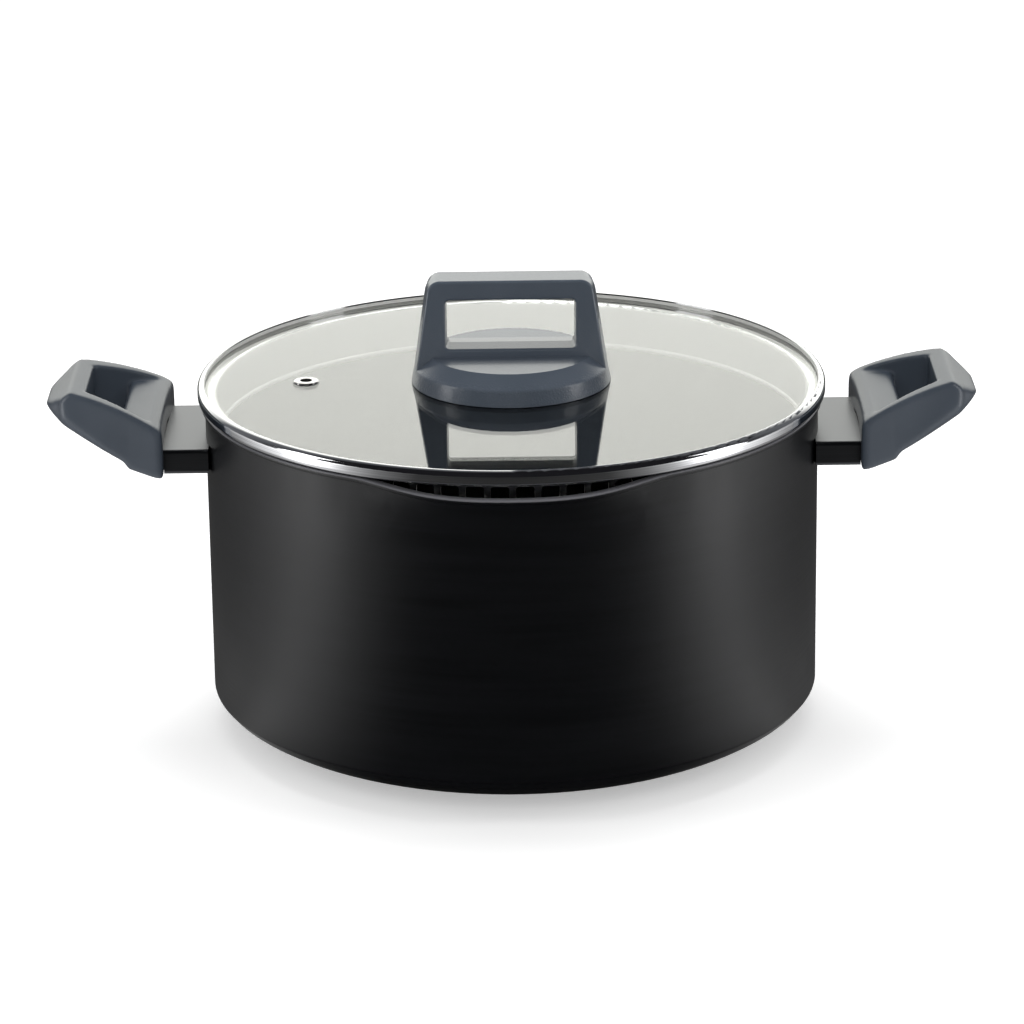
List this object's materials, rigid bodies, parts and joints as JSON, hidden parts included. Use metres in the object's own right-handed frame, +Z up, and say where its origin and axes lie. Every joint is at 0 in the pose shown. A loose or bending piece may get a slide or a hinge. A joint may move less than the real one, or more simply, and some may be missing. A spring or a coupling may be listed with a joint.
{
  "type": "stockpot with straining lid",
  "caption": "Round stockpot with pour lips, side grips and a steel-rimmed glass straining lid that lifts off and turns.",
  "frame": {"origin": "on the ground, under the centre of the base", "axes": "+Z up along the pot's axis; +X through the right-hand grip; -Y out through the front pour lip"},
  "size_m": [0.3716, 0.2586, 0.184],
  "materials": {
    "body_coat": "pressed aluminium with a near-black satin coat over fine circumferential brushing",
    "disc_steel": "turned, satin",
    "grip_plastic": "slate grey, fine leather grain",
    "handle_plastic": "slate grey, fine leather grain",
    "guard_steel": "dark, brushed lengthways",
    "lug_steel": "rolled",
    "screw_steel": "plain",
    "lid_glass": "clear tempered",
    "band_steel": "polished stainless",
    "silicone": "matt",
    "clear_silicone": "translucent, satin",
    "vent_steel": "polished"
  },
  "bodies": {
    "pot": {"pot_shell": "body_coat", "base_disc": "disc_steel", "right_grip": "grip_plastic", "left_grip": "grip_plastic", "right_flame_guard": "guard_steel", "left_flame_guard": "guard_steel", "right_weld_lug": "lug_steel", "left_weld_lug": "lug_steel", "grip_screws": "screw_steel", "grip_washers": "screw_steel"},
    "lid_seal": {"lid_gasket": "clear_silicone"},
    "lid": {"lid_glass": "lid_glass", "lid_band": "band_steel", "vent_eyelet": "vent_steel", "vent_ring": "silicone", "lid_handle": "handle_plastic", "handle_bush": "screw_steel", "handle_pad": "silicone", "handle_seal": "silicone", "handle_washer": "screw_steel", "handle_screw": "screw_steel"}
  },
  "joints": [
    {"name": "lid_lift", "type": "slide", "parent": "pot", "child": "lid_seal", "axis": [0, 0, 1], "range_m": [0, 0.15]},
    {"name": "lid_turn", "type": "hinge", "parent": "lid_seal", "child": "lid", "pos_m": [0, 0, 0.14], "axis": [0, 0, 1], "continuous": true}
  ]
}
